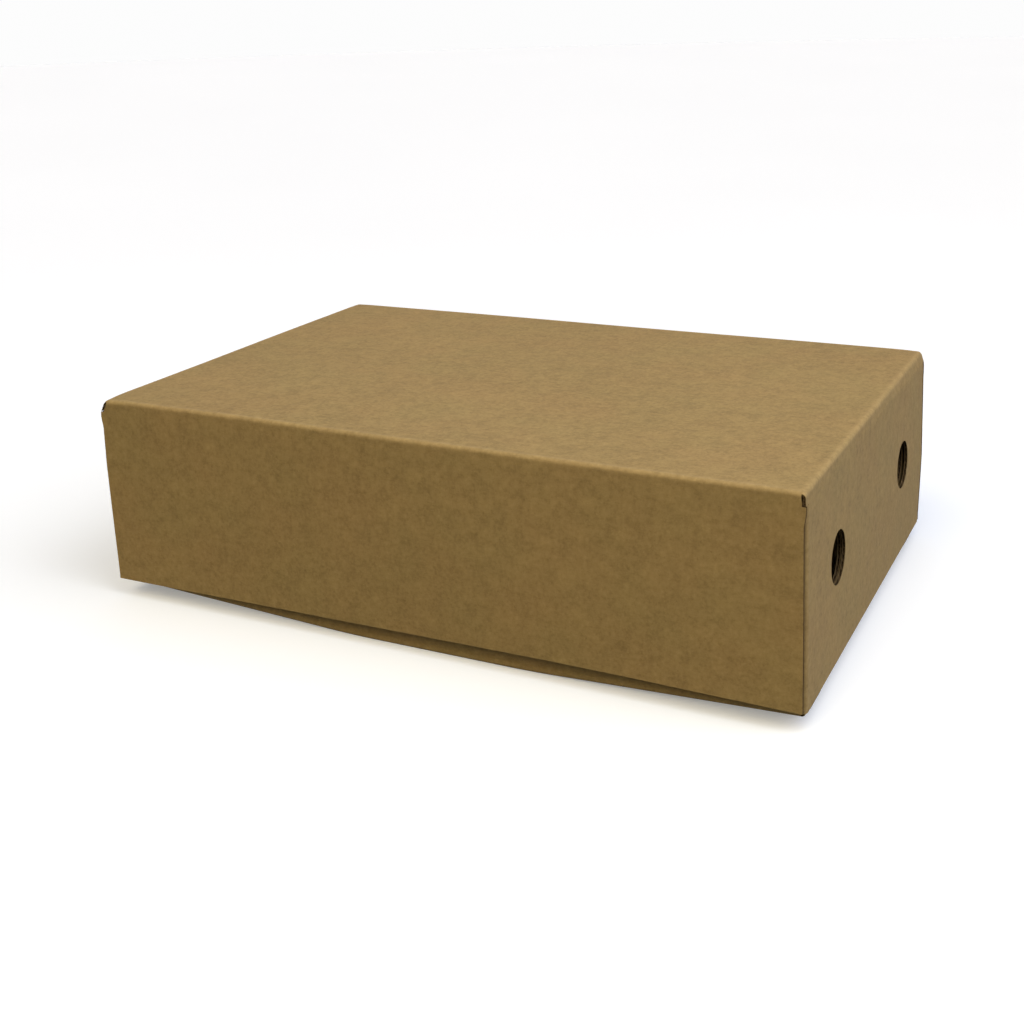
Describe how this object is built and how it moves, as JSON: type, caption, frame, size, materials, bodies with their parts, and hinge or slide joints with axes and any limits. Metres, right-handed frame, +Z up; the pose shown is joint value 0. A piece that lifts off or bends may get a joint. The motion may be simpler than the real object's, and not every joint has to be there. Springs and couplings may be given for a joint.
{
  "type": "cardboard tray box",
  "caption": "Closed kraft corrugated box: a full-depth lid lifts off a tray, with round holes in both end walls.",
  "frame": {"origin": "middle of the footprint, on the surface that the box rests on", "axes": "+X along the length, +Y from the long front wall to the back, +Z up"},
  "size_m": [0.4482, 0.2918, 0.1315],
  "materials": {
    "kraft_lid": "matt brown kraft liner",
    "kraft_tray": "matt brown kraft liner"
  },
  "bodies": {
    "tray": {"tray": "kraft_tray"},
    "lid": {"lid": "kraft_lid"}
  },
  "joints": [
    {"name": "lid_lift", "type": "slide", "parent": "tray", "child": "lid", "axis": [0, 0, 1], "range_m": [0, 0.15]}
  ]
}
